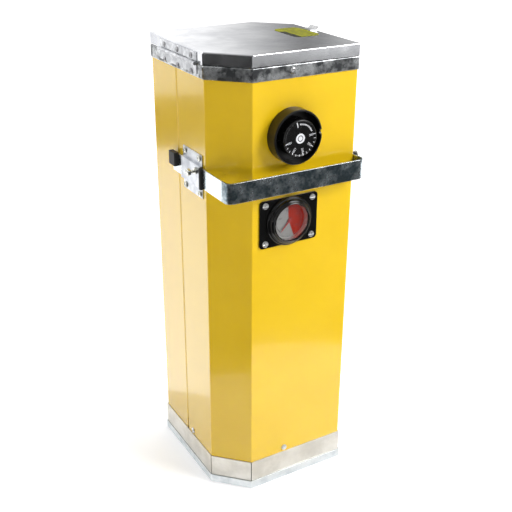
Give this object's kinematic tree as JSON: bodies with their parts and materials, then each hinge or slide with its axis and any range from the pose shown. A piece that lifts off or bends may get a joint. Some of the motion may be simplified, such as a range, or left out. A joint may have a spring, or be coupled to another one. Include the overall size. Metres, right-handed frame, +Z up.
{
  "type": "portable welding electrode oven",
  "caption": "Tall sheet-metal electrode drying oven, two corners cut off, round heated chamber under a hinged lid, thermostat, dial thermometer and sliding strap handle.",
  "frame": {"origin": "middle of the underside of the base, on the surface that the oven stands on", "axes": "+Z up along the chamber, -Y towards the face with the thermostat and the thermometer, -X the hinge side, +X the latch side"},
  "size_m": [0.1976, 0.1903, 0.5444],
  "materials": {
    "powder_coat": "semi-gloss powder coat",
    "galvanised": "galvanised sheet",
    "strap_steel": "galvanised strip, dull",
    "plated_steel": "bright zinc plate",
    "black_knob": "gloss black",
    "black_guard": "satin black",
    "black_plate": "gloss black enamel",
    "black_bezel": "gloss black",
    "dial_face": "silver paint",
    "needle_paint": "red paint",
    "clear_glass": "clear",
    "polished_ring": "polished",
    "black_rubber": "matte",
    "chamber_steel": "mill finish tube",
    "heater_sheath": "oxidised sheath",
    "mineral_wool": "fibrous blanket",
    "fibre_board": "pressed fibre board",
    "moulded_black": "moulded",
    "capillary_copper": "drawn copper",
    "lead_sleeve": "woven glass sleeve",
    "label_film": "printed film",
    "brass_pin": "bright"
  },
  "bodies": {
    "housing": {"base_tray": "galvanised", "base_pan": "galvanised", "base_frame": "galvanised", "base_board": "fibre_board", "front_casing": "powder_coat", "rear_casing": "powder_coat", "top_collar": "galvanised", "base_screws": "plated_steel", "collar_screws": "plated_steel", "chamber_tube": "chamber_steel", "chamber_floor": "chamber_steel", "heating_element": "heater_sheath", "element_clips": "chamber_steel", "insulation_blanket": "mineral_wool", "thermostat_guard": "black_guard", "thermostat_body": "moulded_black", "thermostat_screws": "plated_steel", "sensing_bulb": "capillary_copper", "capillary_tube": "capillary_copper", "gauge_plate": "black_plate", "gauge_screws": "plated_steel", "gauge_bezel": "black_bezel", "gauge_case": "black_plate", "gauge_dial": "dial_face", "gauge_ring": "polished_ring", "gauge_glass": "clear_glass", "gauge_stem": "chamber_steel", "guide_bracket_left": "galvanised", "guide_bracket_right": "galvanised", "clamp_nuts": "plated_steel", "bracket_screws": "plated_steel", "latch_bracket": "plated_steel", "latch_rivets": "plated_steel", "hinge_body_leaf": "galvanised", "hinge_pin": "plated_steel", "hinge_body_rivets": "galvanised", "power_inlet": "moulded_black", "inlet_pins": "brass_pin", "inlet_screws": "plated_steel", "wiring": "lead_sleeve"},
    "lid": {"lid_shell": "galvanised", "lid_liner": "galvanised", "lid_insulation": "mineral_wool", "lid_gasket": "lead_sleeve", "lid_label": "label_film", "latch_keeper": "plated_steel", "hinge_lid_leaf": "galvanised", "hinge_lid_rivets": "galvanised"},
    "handle": {"handle_strap": "strap_steel", "front_stops": "black_rubber", "rear_stops": "black_rubber"},
    "knob": {"thermostat_knob": "black_knob", "thermostat_spindle": "plated_steel"},
    "needle": {"gauge_needle": "needle_paint"},
    "left_clamp": {"clamp_bolt_left": "plated_steel"},
    "right_clamp": {"clamp_bolt_right": "plated_steel"},
    "bail": {"latch_bail": "plated_steel"}
  },
  "joints": [
    {"name": "lid_hinge", "type": "hinge", "parent": "housing", "child": "lid", "pos_m": [-0.0869, 0.01, 0.5267], "axis": [0, -1, 0], "range_deg": [0, 170]},
    {"name": "handle_slide", "type": "slide", "parent": "housing", "child": "handle", "axis": [0, -1, 0], "range_m": [0, 0.008]},
    {"name": "thermostat_turn", "type": "hinge", "parent": "housing", "child": "knob", "pos_m": [0, -0.0835, 0.4525], "axis": [0, -1, 0], "range_deg": [-4.5, 260]},
    {"name": "needle_turn", "type": "hinge", "parent": "housing", "child": "needle", "pos_m": [-0.0014, -0.0835, 0.3548], "axis": [0, 1, 0], "range_deg": [0, 264]},
    {"name": "left_clamp_turn", "type": "hinge", "parent": "housing", "child": "left_clamp", "pos_m": [-0.0915, -0.0323, 0.411], "axis": [-1, 0, 0], "range_deg": [0, 360]},
    {"name": "right_clamp_turn", "type": "hinge", "parent": "housing", "child": "right_clamp", "pos_m": [0.0915, -0.0688, 0.411], "axis": [1, 0, 0], "range_deg": [0, 360]},
    {"name": "bail_swing", "type": "hinge", "parent": "housing", "child": "bail", "pos_m": [0.0885, 0.0065, 0.49], "axis": [0, -1, 0], "range_deg": [0, 165]}
  ]
}
